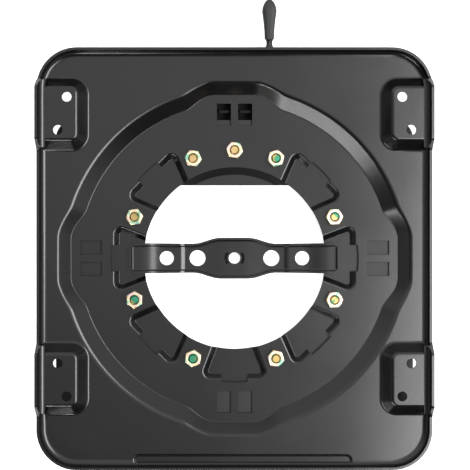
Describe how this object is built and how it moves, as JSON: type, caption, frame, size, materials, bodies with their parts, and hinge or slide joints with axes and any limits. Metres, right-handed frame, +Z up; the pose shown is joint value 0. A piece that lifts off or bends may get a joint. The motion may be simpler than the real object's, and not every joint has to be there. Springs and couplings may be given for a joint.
{
  "type": "swivel seat base",
  "caption": "Pressed steel swivel base for a camper seat: a dished upper plate turns on a lower plate and locks with a sprung latch worked by a side lever.",
  "frame": {"origin": "on the swivel axis, at the underside of the lower plate", "axes": "+Z up towards the seat, +Y towards the release lever, +X to the right seen from above"},
  "size_m": [0.44, 0.528, 0.061],
  "materials": {
    "black_powder_coat": "semi-gloss black powder coat",
    "lower_powder_coat": "semi-gloss black powder coat",
    "ring_steel": "dark phosphate and oil",
    "glide_plastic": "moulded black acetal",
    "yellow_zinc": "yellow chromated zinc",
    "clear_zinc": "clear zinc plate",
    "bush_plastic": "moulded black nylon",
    "spring_steel": "oiled spring wire",
    "grip_plastic": "moulded dark grey plastic, fine texture"
  },
  "bodies": {
    "base": {"base_plate": "lower_powder_coat", "upper_glide_ring": "glide_plastic", "lower_glide_ring": "glide_plastic", "pivot_pin": "clear_zinc", "pivot_clip": "spring_steel", "latch_spring": "spring_steel", "left_ear": "lower_powder_coat", "right_ear": "lower_powder_coat", "ear_rivets": "clear_zinc"},
    "turntable": {"top_plate": "black_powder_coat", "clamp_ring": "ring_steel", "ring_bolts": "yellow_zinc", "ring_nuts": "yellow_zinc", "ring_spacers": "clear_zinc", "cross_strap": "black_powder_coat", "cable_bush": "bush_plastic"},
    "latch": {"latch_plate": "black_powder_coat", "lever_arm": "black_powder_coat", "lever_grip": "grip_plastic", "arm_rivets": "clear_zinc"}
  },
  "joints": [
    {"name": "swivel", "type": "hinge", "parent": "base", "child": "turntable", "pos_m": [0, 0, 0.0185], "axis": [0, 0, 1], "continuous": true},
    {"name": "latch_pivot", "type": "hinge", "parent": "base", "child": "latch", "pos_m": [0, 0.198, 0.01], "axis": [1, 0, 0], "range_deg": [-9, 0], "stiffness_Nm_per_rad": 0.4, "springref_deg": -22.92}
  ]
}
